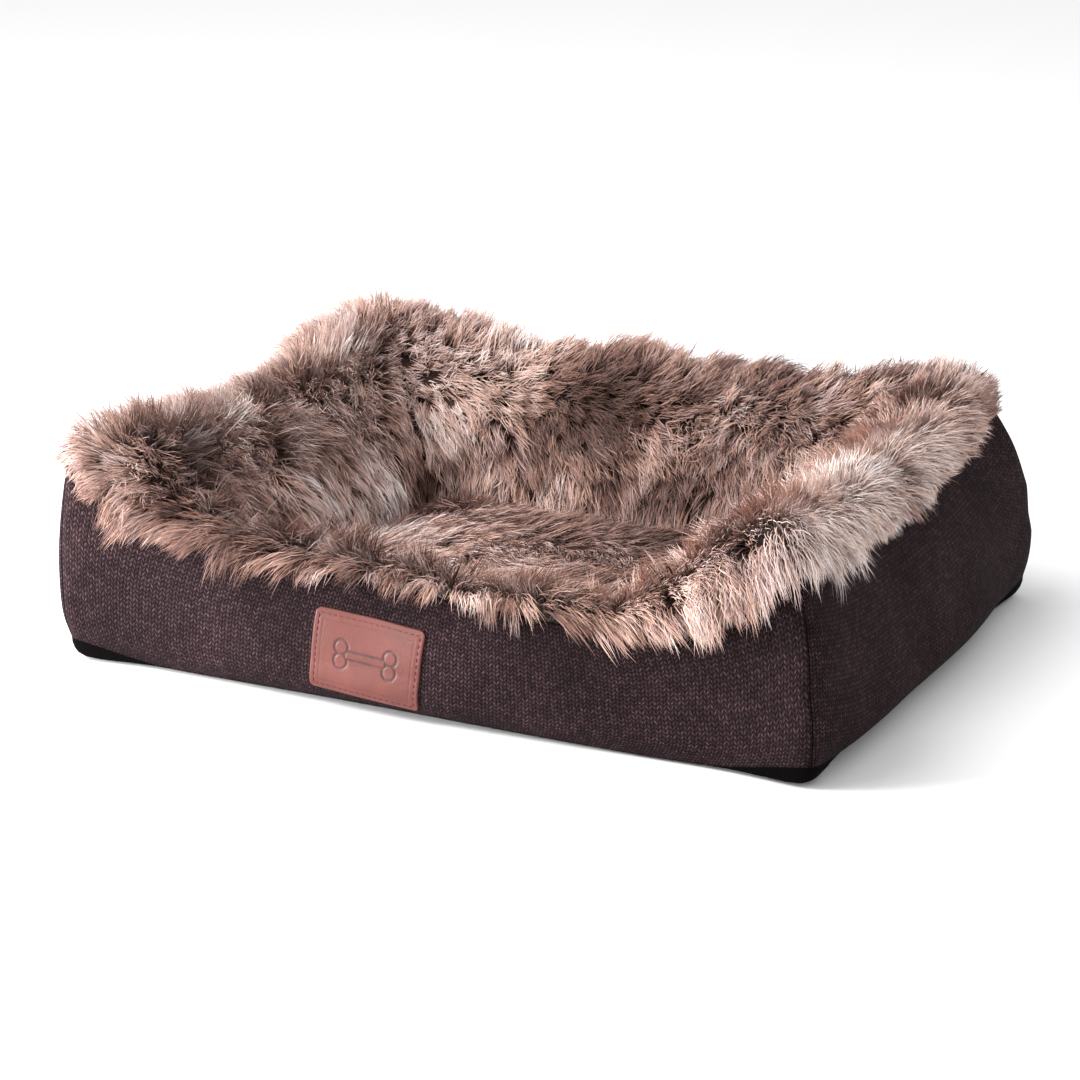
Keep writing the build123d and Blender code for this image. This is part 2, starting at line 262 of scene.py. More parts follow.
# ---- Wall sections: places across and up, in millimetres ----
def woven_curve(ring, lift):
    foot = BASE_INSET * (1 - 0.7 * lift / FOOT_LIFT)
    shape = [(foot, 0.5, 0), (foot * 0.3, 0.9, 0.11), (0, 1, 0.36), (1.5, 0.7, 0.7),
             (EDGE_LEAN, 0.0, 1)]
    return [(x - k * ring["bow"], BASE + lift + share * (ring["edge"] - BASE - lift))
            for x, k, share in shape]


def skin_curve(ring):
    start, top = EDGE_LEAN + WOVEN, ring["crest"] - PILE
    across, high = SKIN_SHARE * ring["width"] - start, top - FLOOR
    return [(start, ring["edge"]), (start + 0.10 * across, top - 1), (start + 0.30 * across, top),
            (start + 0.57 * across, top - 0.14 * high), (start + 0.88 * across, top - 0.48 * high),
            (start + across - 0.5, FLOOR + 0.25 * high), (start + across, FLOOR)]


def spline_matrix(knots, at):
    """Weights that turn values at the knots into a natural cubic spline's values at some places."""
    count, step = len(knots), np.diff(knots)
    system, right = np.eye(count), np.zeros((count, count))
    for k in range(1, count - 1):
        system[k, k - 1:k + 2] = step[k - 1], 2 * (step[k - 1] + step[k]), step[k]
        right[k, k - 1:k + 2] = 6 / step[k - 1], -6 / step[k - 1] - 6 / step[k], 6 / step[k]
    bend = np.linalg.solve(system, right)
    span = np.clip(np.searchsorted(knots, at, side="right") - 1, 0, count - 2)
    wide = step[span][:, None]
    near = (knots[span + 1] - at)[:, None] / wide
    far, same = 1 - near, np.eye(count)
    return (near * same[span] + far * same[span + 1]
            + ((near ** 3 - near) * bend[span] + (far ** 3 - far) * bend[span + 1]) * wide ** 2 / 6)


def ring_columns():
    """One column for each place round the bed, from the front left corner anticlockwise."""
    middle, half = (NEST_BACK + NEST_FRONT) / 2, (NEST_BACK - NEST_FRONT) / 2
    rim = np.array([(-CORNER_X, CORNER_EDGE, CORNER_CREST), *DIP,
                    (CORNER_X, CORNER_EDGE, CORNER_CREST)])
    parts, starts = [], [0]
    for wall in WALLS:
        lengthways, side = wall in ("front", "back"), 1 if wall in ("right", "back") else -1
        count = round((WIDTH if lengthways else DEPTH) / STEP)
        share = np.linspace(-1, 1, count, endpoint=False) * (-1 if wall in ("back", "left") else 1)
        if lengthways:
            outer = share * CORNER_X, side * CORNER_Y
            inner = share * NEST_HALF_WIDTH, NEST_FRONT if side < 0 else NEST_BACK
            bow, edge, crest = END_BOW, BACK_EDGE, BACK_CREST
        else:
            outer = side * CORNER_X, share * CORNER_Y
            inner = side * NEST_HALF_WIDTH, middle + share * half
            bow, edge, crest = SIDE_BOW, SIDE_EDGE, SIDE_CREST
        rise = np.abs(share) ** 2.4
        edge, crest = edge + rise * (CORNER_EDGE - edge), crest + rise * (CORNER_CREST - crest)
        if wall == "front":
            edge, crest = (np.interp(share * CORNER_X, rim[:, 0], rim[:, k]) for k in (1, 2))
        plans = {"outer": outer, "inner": inner}
        plans = {key: np.stack(np.broadcast_arrays(*pair), 1) for key, pair in plans.items()}
        parts.append({**plans, "bow": (1 - np.abs(share) ** 5) * bow, "edge": edge, "crest": crest})
        starts.append(starts[-1] + count)
    ring = {key: np.concatenate([part[key] for part in parts]) for key in parts[0]}
    inward = ring["inner"] - ring["outer"]
    ring["width"] = np.linalg.norm(inward, axis=1)
    ring["inward"] = inward / ring["width"][:, None]
    ring["starts"] = starts
    ring["from_corner"] = np.abs(np.arange(starts[-1])[:, None] - np.array(starts)).min(1) * STEP
    return ring


def soften(field, sigma):
    """Smooths a ring's columns with a bell curve sigma millimetres wide."""
    spread = int(np.ceil(3 * sigma / STEP))
    steps = np.arange(-spread, spread + 1)
    weights = np.exp(-0.5 * (steps * STEP / sigma) ** 2)
    weights /= weights.sum()
    return sum(w * np.roll(field, k, axis=0) for k, w in zip(steps, weights))


def corner_push(ring, amounts):
    """Offsets in plan, in metres, that carry the corners outward."""
    total = ring["starts"][-1]
    offset = np.zeros((total, 2))
    for index, outward in enumerate(((-1, -1), (1, -1), (1, 1), (-1, 1))):
        away = np.abs(np.arange(total) - ring["starts"][index])
        away = np.minimum(away, total - away) * STEP
        bell = amounts[index] * np.exp(-(away / OUT_REACH) ** 2)
        offset += bell[:, None] * np.array(outward) / np.sqrt(2)
    return offset * MM


def section_grid(ring, curve, rows):
    """Points in metres, column by column, along a section curve, evenly spaced."""
    curve = np.stack([np.stack(np.broadcast_arrays(x, y), -1) for x, y in curve], 1)
    curve = soften(curve.astype(float), CORNER_ROUND)
    mean = curve.mean(0)
    knots = lengths(mean)
    fine = np.linspace(0, knots[-1], 400)
    length = lengths(spline_matrix(knots, fine) @ mean)
    at = np.interp(np.linspace(0, length[-1], rows), length, fine)
    section = spline_matrix(knots, at) @ curve
    plan = ring["outer"][:, None, :] + ring["inward"][:, None, :] * section[..., :1]
    points = np.concatenate([plan, section[..., 1:]], -1)
    points[..., :2] = soften(points[..., :2], CORNER_ROUND)
    return points * MM


class Skin:
    """A grid of points with its normals and its two directions, that cloth or fur is made on."""

    def __init__(self, points, wrap):
        self.points, self.wrap = points, wrap
        if wrap:
            self.along = (np.roll(points, -1, 0) - np.roll(points, 1, 0)) / 2
        else:
            self.along = np.gradient(points, axis=0)
        self.down = np.gradient(points, axis=1)
        cross = np.cross(self.along, self.down)
        self.normal, self.area = unit(cross), np.linalg.norm(cross, axis=-1)

    def at(self, field, column, row):
        """The field between grid points; columns wrap on a ring."""
        columns, rows = self.points.shape[:2]
        row = np.clip(row, 0, rows - 1.001)
        column = column % columns if self.wrap else np.clip(column, 0, columns - 1.001)
        left, low = np.floor(column).astype(int), np.floor(row).astype(int)
        right = (left + 1) % columns
        a, b = (column - left)[:, None], (row - low)[:, None]
        return ((field[left, low] * (1 - a) + field[right, low] * a) * (1 - b)
                + (field[left, low + 1] * (1 - a) + field[right, low + 1] * a) * b)


# ---- Materials ----
def tint(red, green, blue):
    """A display colour, 0 to 255, as the linear colour that shaders take."""
    share = np.array([red, green, blue]) / 255
    linear = np.where(share <= 0.04045, share / 12.92, ((share + 0.055) / 1.055) ** 2.4)
    return (*linear, 1.0)


class Shade:
    """A material and the nodes that feed its shader. Colours are given as display colours."""

    def __init__(self, name, **constants):
        self.material = bpy.data.materials.new(name)
        self.material.use_nodes = True
        self.tree = self.material.node_tree
        self.shader = self.tree.nodes["Principled BSDF"]
        for socket, value in constants.items():
            self.shader.inputs[socket.replace("_", " ")].default_value = value

    def feed(self, socket, value):
        if isinstance(value, bpy.types.NodeSocket):
            self.tree.links.new(value, socket)
        else:
            socket.default_value = value

    def node(self, kind, inputs=None, output=0, **settings):
        """A new node's output, once its settings and inputs are in place."""
        made = self.tree.nodes.new("ShaderNode" + kind)
        for key, value in settings.items():
            setattr(made, key, value)
        for socket, value in (inputs or {}).items():
            self.feed(made.inputs[socket], value)
        return made.outputs[output]

    def math(self, operation, *values):
        return self.node("Math", dict(enumerate(values)), operation=operation)

    def wave(self, value, rate):
        return self.math("SINE", self.math("MULTIPLY", value, rate))

    def weigh(self, start, *parts):
        """start and each value times its weight, added up."""
        for value, weight in parts:
            start = self.math("MULTIPLY_ADD", value, weight, start)
        return start

    def split(self, vector):
        made = self.tree.nodes.new("ShaderNodeSeparateXYZ")
        self.feed(made.inputs[0], vector)
        return list(made.outputs)

    def ramp(self, factor, stops):
        made = self.tree.nodes.new("ShaderNodeValToRGB")
        self.feed(made.inputs["Fac"], factor)
        bands = made.color_ramp.elements
        for band, (place, shown) in zip(bands, (stops[0], stops[-1])):
            band.position, band.color = place, tint(*shown)
        for place, shown in stops[1:-1]:
            bands.new(place).color = tint(*shown)
        return made.outputs["Color"]

    def mix(self, factor, first, second):
        return self.node("Mix", {0: factor, 6: first, 7: second}, 2, data_type="RGBA")

    def place(self):
        return self.node("TexCoord", output="Object")

    def noise(self, size, detail=3.0):
        """Noise whose features are about size metres across, in the object's own space."""
        return self.node("TexNoise", {"Vector": self.place(), "Scale": 1 / size, "Detail": detail})

    def colour(self, value):
        self.feed(self.shader.inputs["Base Color"], value)

    def roughness(self, factor, low, high):
        spread = self.node("MapRange", {"Value": factor, "To Min": low, "To Max": high})
        self.feed(self.shader.inputs["Roughness"], spread)

    def bump(self, height, distance, strength=1.0):
        self.feed(self.shader.inputs["Normal"], self.node(
            "Bump", {"Height": height, "Distance": distance, "Strength": strength}))


BLACK, WHITE = (0, 0, 0), (255, 255, 255)


def woven_material():
    """Chevron weave: rows of yarn that zigzag, each leg a little lighter or darker."""
    shade = Shade("woven_chevron", Specular_IOR_Level=0.05)
    place = shade.node("VectorMath", {0: shade.node("UVMap", uv_map="Cloth"), 1: (1000, 1000, 1000)},
                       operation="MULTIPLY")
    along, up, _ = shade.split(place)
    wobble = shade.node("TexNoise", {"Vector": place, "Scale": 0.3, "Detail": 2.0})
    course = shade.weigh(along, (wobble, 1.2))
    leg = shade.math("PINGPONG", course, CHEVRON_LEG)
    rows = shade.math("DIVIDE", shade.weigh(up, (leg, CHEVRON_LEAN), (wobble, 0.8)), ROW_HIGH)
    legs = shade.math("DIVIDE", course, CHEVRON_LEG)
    turn, yarn = (shade.wave(shade.math("FRACT", count), pi) for count in (legs, rows))
    high = shade.math("MULTIPLY", yarn, shade.math("POWER", turn, 0.6))
    stroke = shade.node("CombineXYZ", {0: shade.math("FLOOR", legs), 1: shade.math("FLOOR", rows)})
    chance = shade.node("TexWhiteNoise", {"Vector": stroke})
    speck = shade.node("TexNoise", {"Vector": place, "Scale": 0.9, "Detail": 5.0})
    # yarn tops lighter and the gaps between rows darker is painted shade; the specks, each leg's chance
    # and the broad noise are the yarn's own colour
    glow = shade.weigh(-0.56, (high, 0.46), (speck, 0.9), (chance, 0.22), (shade.noise(0.07, 2.0), 0.3))
    shown = shade.ramp(glow, [(0.05, (13, 9, 10)), (0.38, (37, 26, 28)), (0.62, (60, 44, 47)),
                              (0.95, (112, 88, 91))])
    seam = shade.node("Attribute", output="Fac", attribute_name="seam")
    seam = shade.ramp(seam, [(0.62, BLACK), (0.9, WHITE)])
    shade.colour(shade.mix(seam, shown, tint(8, 5, 6)))
    shade.roughness(speck, 0.72, 0.95)
    shade.bump(high, 0.0006, 0.8)
    return shade.material


# Colours of the cool and the warm strands, at their roots and at their tips, by tone
FUR_DYES = [
    ([(0, (46, 27, 23)), (0.35, (96, 66, 59)), (0.65, (153, 120, 110)), (1, (206, 180, 173))],
     [(0, (88, 60, 53)), (0.3, (157, 123, 115)), (0.6, (208, 181, 175)), (0.85, (234, 218, 215)),
      (1, (247, 241, 239))]),
    ([(0, (48, 26, 19)), (0.35, (101, 67, 55)), (0.65, (159, 119, 103)), (1, (210, 177, 163))],
     [(0, (94, 62, 51)), (0.3, (164, 123, 107)), (0.6, (216, 180, 164)), (0.85, (239, 218, 208)),
      (1, (251, 240, 235))]),
]


def fur_material():
    """Fur strands coloured by their UV place: tone from left to right, and root to tip upwards,
    the cool strands in the lower half and the warm ones in the upper half."""
    shade = Shade("long_pile_fur", Roughness=0.62, Specular_IOR_Level=0.35, Sheen_Weight=0.15,
                  Sheen_Roughness=0.4)
    tone, up, _ = shade.split(shade.node("UVMap", uv_map="OFBake"))
    rise = shade.math("FRACT", shade.math("MULTIPLY", up, 2.0))
    blend = shade.ramp(rise, [(0.22, BLACK), (0.8, WHITE)])
    dyes = [shade.mix(blend, *(shade.ramp(tone, stops) for stops in pair)) for pair in FUR_DYES]
    shade.colour(shade.mix(shade.math("GREATER_THAN", up, 0.5), *dyes))
    return shade.material


def backing_material():
    shade = Shade("knitted_backing", Roughness=0.9)
    fine, broad = shade.noise(0.0015), shade.noise(0.05)
    total = shade.weigh(0, (fine, 0.4), (broad, 0.6))
    shade.colour(shade.ramp(total, [(0.3, (50, 36, 32)), (0.7, (92, 68, 60))]))
    shade.bump(fine, 0.0008)
    return shade.material


def plain_cloth_material(name, dark, light, size=0.0009, sheen=0.05, shine=0.15):
    """A fine weave, set on the slant so that it shows on every side: threads size metres apart."""
    shade = Shade(name, Sheen_Weight=sheen, Specular_IOR_Level=shine)
    x, y, z = shade.split(shade.place())
    slants = shade.math("ADD", x, y), shade.math("ADD", z, shade.math("SUBTRACT", x, y))
    weave = shade.math("MULTIPLY", *(shade.wave(slant, pi / size) for slant in slants))
    broad = shade.noise(0.04)
    shade.colour(shade.ramp(shade.weigh(broad, (weave, 0.08)), [(0.25, dark), (0.75, light)]))
    shade.roughness(broad, 0.75, 0.95)
    shade.bump(weave, size / 8)
    return shade.material


def fibre_material(name, dark, light):
    shade = Shade(name, Roughness=0.95, Sheen_Weight=0.4)
    warped = shade.node("TexNoise", {"Vector": shade.place(), "Scale": 60.0, "Detail": 5.0,
                                     "Distortion": 3.0})
    shade.colour(shade.ramp(warped, [(0.3, dark), (0.7, light)]))
    shade.bump(warped, 0.003)
    return shade.material


def leather_material():
    """Smooth terracotta leather with a fine grain, darker where it is pressed or worn."""
    shade = Shade("patch_leather", Specular_IOR_Level=0.4, Coat_Weight=0.06, Coat_Roughness=0.35)
    pressed = shade.node("Attribute", output="Fac", attribute_name="pressed")
    broad, fine = shade.noise(0.02), shade.noise(0.0012, 4.0)
    total = shade.weigh(0, (broad, 0.65), (fine, 0.35))
    skin = shade.ramp(total, [(0.3, (87, 37, 29)), (0.7, (108, 50, 41))])
    shade.colour(shade.mix(shade.math("MULTIPLY", pressed, 0.9), skin, tint(50, 22, 23)))
    shade.roughness(fine, 0.42, 0.6)
    shade.bump(shade.node("TexVoronoi", {"Vector": shade.place(), "Scale": 1300.0}), 0.00012)
    return shade.material


def thread_material(name, dark, light):
    shade = Shade(name, Roughness=0.6)
    x, _, z = shade.split(shade.place())
    strands = shade.wave(shade.math("ADD", x, z), 2 * pi / 0.0006)
    shade.colour(shade.ramp(shade.weigh(0.5, (strands, 0.5)), [(0.1, dark), (0.9, light)]))
    shade.bump(strands, 0.0001)
    return shade.material


def metal_material():
    shade = Shade("zip_metal", Metallic=1.0)
    worn, fine = shade.noise(0.003), shade.noise(0.0004, 4.0)
    shade.colour(shade.ramp(worn, [(0.35, (118, 112, 108)), (0.7, (176, 170, 164))]))
    shade.roughness(fine, 0.22, 0.42)
    shade.bump(fine, 0.00004)
    return shade.material


def coil_material():
    shade = Shade("zip_nylon", Specular_IOR_Level=0.5)
    fine = shade.noise(0.0008)
    shade.colour(shade.ramp(fine, [(0.3, (44, 34, 35)), (0.7, (72, 58, 58))]))
    shade.roughness(fine, 0.3, 0.5)
    return shade.material



# ---- Woven walls, base and filling ----
def wall_slice(ring, wall):
    """The columns of one wall, both corner columns with them."""
    first, last = ring["starts"][WALLS.index(wall):][:2]
    return np.arange(first, last + 1) % ring["starts"][-1]


def woven_grid(ring, rows=44):
    """The outer face of the woven walls, bulged, puckered at the corners and lifted at the foot."""
    near = np.exp(-(ring["from_corner"] / FOOT_LIFT_REACH) ** 2)
    points = section_grid(ring, woven_curve(ring, FOOT_LIFT * near), rows)
    up = np.linspace(0, 1, rows)
    belly, edge = corner_push(ring, BELLY_OUT), corner_push(ring, EDGE_OUT)
    share = np.interp(up, [0, 0.3, 0.55, 1], [0.75, 1, 0.9, 0])[:, None]
    points[..., :2] += belly[:, None] * share + edge[:, None] * (1 - share)
    walls = np.interp(np.arange(len(points)), ring["starts"], range(5))
    spread = soften(np.interp(walls, *zip(*FOOT_OUT)), 20)[:, None]
    spread = spread * np.interp(up, [0, 0.4], [1, 0]) * MM
    points[..., :2] -= ring["inward"][:, None] * spread[..., None]
    middle, from_corner = np.sin(pi * up), ring["from_corner"][:, None]
    bulge = 1.9 * ripple(points, 0.11, 5) + 0.8 * ripple(points, 0.045, 6)
    folds = ripple(points * np.array([1, 1, 0.25]), 0.016, 7)
    pucker = 0.9 * np.exp(-from_corner / 26) * middle ** 0.7 + 0.3 * np.exp(-(1 - up) / 0.16)
    seam = -1.6 * np.exp(-(from_corner / 3.2) ** 2) * middle ** 0.3
    moved = bulge * middle ** 0.7 + folds * pucker + seam
    return points + Skin(points, True).normal * moved[..., None] * MM


def make_woven(ring, grid, shade):
    for wall in WALLS:
        points = grid[wall_slice(ring, wall)]
        columns, rows = points.shape[:2]
        along, up = lengths(points[:, rows // 2]), lengths(points[columns // 2])
        cloth = np.stack(np.meshgrid(along, up, indexing="ij"), -1).reshape(-1, 2)
        spread = cloth / cloth.max(0) * 0.98 + 0.01
        panel = cloth_sheet(f"woven_{wall}_panel", points, WOVEN * MM,
                            layers={"OFBake": spread, "Cloth": cloth})
        seam = np.zeros((columns, rows))
        seam[[0, -1]] = 1
        set_values(panel, "seam", seam)
        finish_piece(panel, "bed", f"wall_{wall}_panel", shade)
        cut_sheet(points)


# How the base rolls under from the woven foot: millimetres inward, and the share of its height left
UNDER_ROLL = ((0, 1), (0.2, 0.75), (1.5, 0.48), (4, 0.24), (8, 0.08), (13, 0.01), (26, 0))
BASE_UNDER = 0.0011  # height of the base cloth's flat underside, in metres


def make_base(ring, grid, shade):
    """Anti-slip cloth: it rolls under from the woven foot, with rows of grip dots below."""
    foot = grid[:, 0]
    inward = unit(soften(np.pad(ring["inward"], ((0, 0), (0, 1))), CORNER_ROUND))
    rows = []
    for under, high in UNDER_ROLL:
        row = foot + inward * (under * MM)
        row[:, 2] = BASE_UNDER + (foot[:, 2] - BASE_UNDER) * high
        rows.append(row)
    rows += [rows[-1] * np.array([scale, scale, 1]) for scale in (0.8, 0.6, 0.4, 0.2, 0.02)]
    points = np.stack(rows, 1)
    points[..., 2] += 0.0002 * ripple(points, 0.03, 9) * np.clip(points[..., 2] * 100, 0, 1)
    count, high = points.shape[:2]
    last = np.arange(count) * high + high - 1
    fan = np.stack([last, np.roll(last, -1), np.full(count, count * high)], 1)[:, ::-1]
    sheet = np.concatenate([points.reshape(-1, 3), [[0, 0, BASE_UNDER]]])
    # grip dots, low domes of eight sides
    pitch, radius, tall, sides = 0.014, 0.0022, 0.0009, 8
    dots = np.stack(np.meshgrid(np.arange(-18, 19), np.arange(-12.5, 13.5)), -1).reshape(-1, 2) * pitch
    dots = dots[(np.abs(dots[:, 0]) < 0.245) & (np.abs(dots[:, 1]) < 0.178)]
    k = np.arange(sides)
    after, turn = (k + 1) % sides, k * 2 * pi / sides
    rim = np.stack([np.cos(turn), np.sin(turn)], 1) * radius
    dome = np.concatenate([np.c_[rim, np.full(sides, BASE_UNDER)],
                           np.c_[rim * 0.7, np.full(sides, BASE_UNDER - tall * 0.8)],
                           [[0, 0, BASE_UNDER - tall]]])
    domes = dome + np.pad(dots, ((0, 0), (0, 1)))[:, None]
    start = len(sheet) + np.arange(len(dots))[:, None, None] * len(dome)
    side = np.stack([k, sides + k, sides + after, after], 1)
    cap = np.stack([sides + k, np.full(sides, 2 * sides), sides + after], 1)
    base = mesh_object("anti_slip_base", np.concatenate([sheet, domes.reshape(-1, 3)]),
                       [grid_faces(count, high, True, flip=True), (side + start).reshape(-1, 4), fan,
                        (cap + start).reshape(-1, 3)])
    finish_piece(base, "bed", "base_panel", shade)


UNDER_WOVEN, UNDER_FUR, FILLING_LOW = 0.0030, 0.0042, 0.0035  # the filling's gaps, in metres


def make_fillings(ring, woven, lining, shade):
    """Loose fibre in each wall, as the lumpy closed form it takes there."""
    outer, inner = woven[:, 2:-3:2], lining[:, 3::3]
    outer = outer - Skin(outer, True).normal * UNDER_WOVEN
    inner = inner - Skin(inner, True).normal * UNDER_FUR
    loop = np.concatenate([outer, inner], 1)
    loop = loop + Skin(loop, True).normal * (0.0006 * ripple(loop, 0.02, 11))[..., None]
    loop[..., 2] = np.maximum(loop[..., 2], FILLING_LOW)
    for wall in WALLS:
        points = loop[wall_slice(ring, wall)[1:-1]]
        count, high = points.shape[:2]
        ends = np.stack([points[0].mean(0), points[-1].mean(0)])
        column, k = np.arange(count) * high, np.arange(high)
        close = np.stack([column[:-1] + high - 1, column[1:] + high - 1, column[1:], column[:-1]], 1)
        fan = np.stack([k, (k + 1) % high, np.full(high, count * high)], 1)
        far_fan = np.stack([column[-1] + fan[:, 1], column[-1] + k, fan[:, 2] + 1], 1)
        filling = mesh_object(f"filling_{wall}", np.concatenate([points.reshape(-1, 3), ends]),
                              [grid_faces(count, high), close, np.concatenate([fan, far_fan])])
        finish_piece(filling, "bed", f"bolster_fill_{wall}", shade)


def make_nest_floor(pad_shade, lining_shade):
    """The wadding between the walls and the thin cloth over it."""
    low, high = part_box("base_pad")
    u, v = spans(72, 60)
    plan = np.stack([low.x + u * (high.x - low.x), low.y + v * (high.y - low.y), 0 * u], -1)
    tuft = 0.0007 * ripple(plan, 0.035, 13)
    top, bottom, cover = plan.copy(), plan.copy(), plan.copy()
    top[..., 2], bottom[..., 2] = high.z - 0.0010 + tuft, low.z + 0.0006
    cover[..., 2] = high.z + 0.0002 + tuft
    pad = slab("wadding_pad", top, bottom)
    finish_piece(pad, "bed", "base_pad", pad_shade)
    lining = cloth_sheet("nest_floor_lining", cover, LINING * MM, offset=1)
    finish_piece(lining, "bed", "floor_lining", lining_shade)


# ---- Fur ----
# Patches of the pile's tone, in millimetres: place, radius and how much lighter or darker. Besides the
# dyed pattern they hold painted light and shade: painted shade low in the nest, where the inner walls
# meet the cushion, and painted light on the brightest locks, such as on the right wall's crest
DYE_AND_PAINTED_LIGHT_PATCHES = [
    # left wall
    (-200, -170, 150, 34, -0.32), (-205, -20, 150, 34, -0.28), (-180, 85, 105, 34, -0.28),
    (-160, 45, 80, 34, 0.44), (-230, -60, 165, 40, 0.15), (-170, -60, 100, 30, 0.20),
    (-157, -97, 85, 28, -0.45), (-157, 100, 68, 20, -0.55), (-250, -195, 160, 50, -0.06),
    (-205, 150, 165, 45, 0.15),
    # back wall
    (-115, 150, 135, 45, 0.20), (-25, 150, 132, 40, -0.72), (-20, 120, 95, 30, -0.10),
    (35, 135, 140, 20, -0.10), (100, 155, 145, 50, -0.06), (115, 110, 85, 34, -0.30),
    (0, 115, 80, 18, -0.35), (55, 110, 78, 22, -0.40), (83, 147, 132, 18, 0.20),
    # right wall
    (270, -80, 150, 66, 0.62), (262, 45, 145, 45, 0.22), (270, -170, 165, 40, 0.32),
    (190, 165, 165, 50, -0.08),
    # front rim
    (165, -195, 95, 50, -0.06), (230, -200, 135, 40, -0.16), (70, -200, 95, 40, 0.02),
    (120, -200, 95, 40, -0.12), (-160, -205, 105, 65, -0.36),
    # cushion
    (-20, 60, 60, 50, -0.22), (50, 45, 60, 50, -0.20), (-35, -60, 62, 40, 0.10),
    (90, 60, 65, 40, -0.35), (-10, 80, 65, 22, 0.22), (60, -60, 62, 50, -0.15),
]

# Where more of the strands are warm (above 0) or cool (below 0)
WARM_PLACES = [
    (-90, 150, 130, 60, 0.35), (0, 150, 135, 50, 0.30), (120, -200, 95, 110, 0.35),
    (265, -70, 150, 80, 0.32), (-250, -190, 150, 50, 0.20), (-165, 30, 100, 60, -0.35),
    (-220, -60, 165, 40, -0.20), (20, 0, 60, 100, -0.08),
]


def blots(points, places):
    """Soft blots added up: each fades out from its place over its radius."""
    total = 0
    for *place, radius, amount in places:
        away = np.linalg.norm(points - np.array(place) * MM, axis=-1) / (radius * MM)
        total = total + amount * np.exp(-away ** 2)
    return total


def fur_tone(points):
    """Tone of the fur, from 0, near black, to 1, near white: the dyed pattern, with painted light and
    shade from the patches.
    """
    waves = 0.15 * ripple(points, 0.075, 31) + 0.11 * ripple(points, 0.03, 32)
    return 0.52 + waves + blots(points, DYE_AND_PAINTED_LIGHT_PATCHES)


def fur_warmth(points):
    """How many of the locks at each point are warm rather than cool."""
    return 0.42 + 0.2 * ripple(points, 0.06, 33) + blots(points, WARM_PLACES)


def strands_object(name, strands, wide=0.004):
    """Tapered ribbons, two quads and a tip each. wide is the ribbon's width in its UV place."""
    root, facing = strands["root"], strands["facing"][:, None]
    count = len(root)
    line = np.concatenate([root[:, None], strands["course"]], 1)
    aim = unit(np.gradient(line, axis=1))
    across = unit(np.cross(aim, facing))
    lift = np.cross(across, aim)
    turn = draw.uniform(-0.9, 0.9, (count, 1, 1))
    across = across * np.cos(turn) + lift * np.sin(turn)
    half = (strands["thick"][:, None] / 2 * np.array([0.85, 1.0, 0.7]))[..., None]
    left, right = line[:, :3] - across[:, :3] * half, line[:, :3] + across[:, :3] * half
    pairs = np.stack([left, right], 2).reshape(count, 6, 3)
    base = (np.arange(count) * 7)[:, None, None]
    quads = (np.array([[0, 1, 3, 2], [2, 3, 5, 4]]) + base).reshape(-1, 4)
    tips = (np.array([[4, 5, 6]]) + base).reshape(-1, 3)
    level = np.array([0.02, 0.02, 0.36, 0.36, 0.7, 0.7, 0.98]) / 2 + 0.5 * strands["warm"][:, None]
    side = np.array([-1, 1, -1, 1, -1, 1, 0]) * wide
    places = np.stack([np.clip(strands["tone"], 0.02, 0.98)[:, None] + side, level], -1)
    made = mesh_object(name, np.concatenate([pairs, line[:, 3:]], 1), [quads, tips],
                       {"OFBake": places.reshape(-1, 2)})
    # shaded half as the pelt lies, so that single strands don't glitter
    soft = unit(0.8 * facing + 0.45 * unit(np.cross(across, aim)))
    normals = np.concatenate([np.repeat(soft[:, :3], 2, axis=1), soft[:, 3:]], 1)
    free = made.data.attributes.new("custom_normal", "FLOAT_VECTOR", "POINT")
    free.data.foreach_set("vector", normals.astype(np.float32).ravel())
    return made


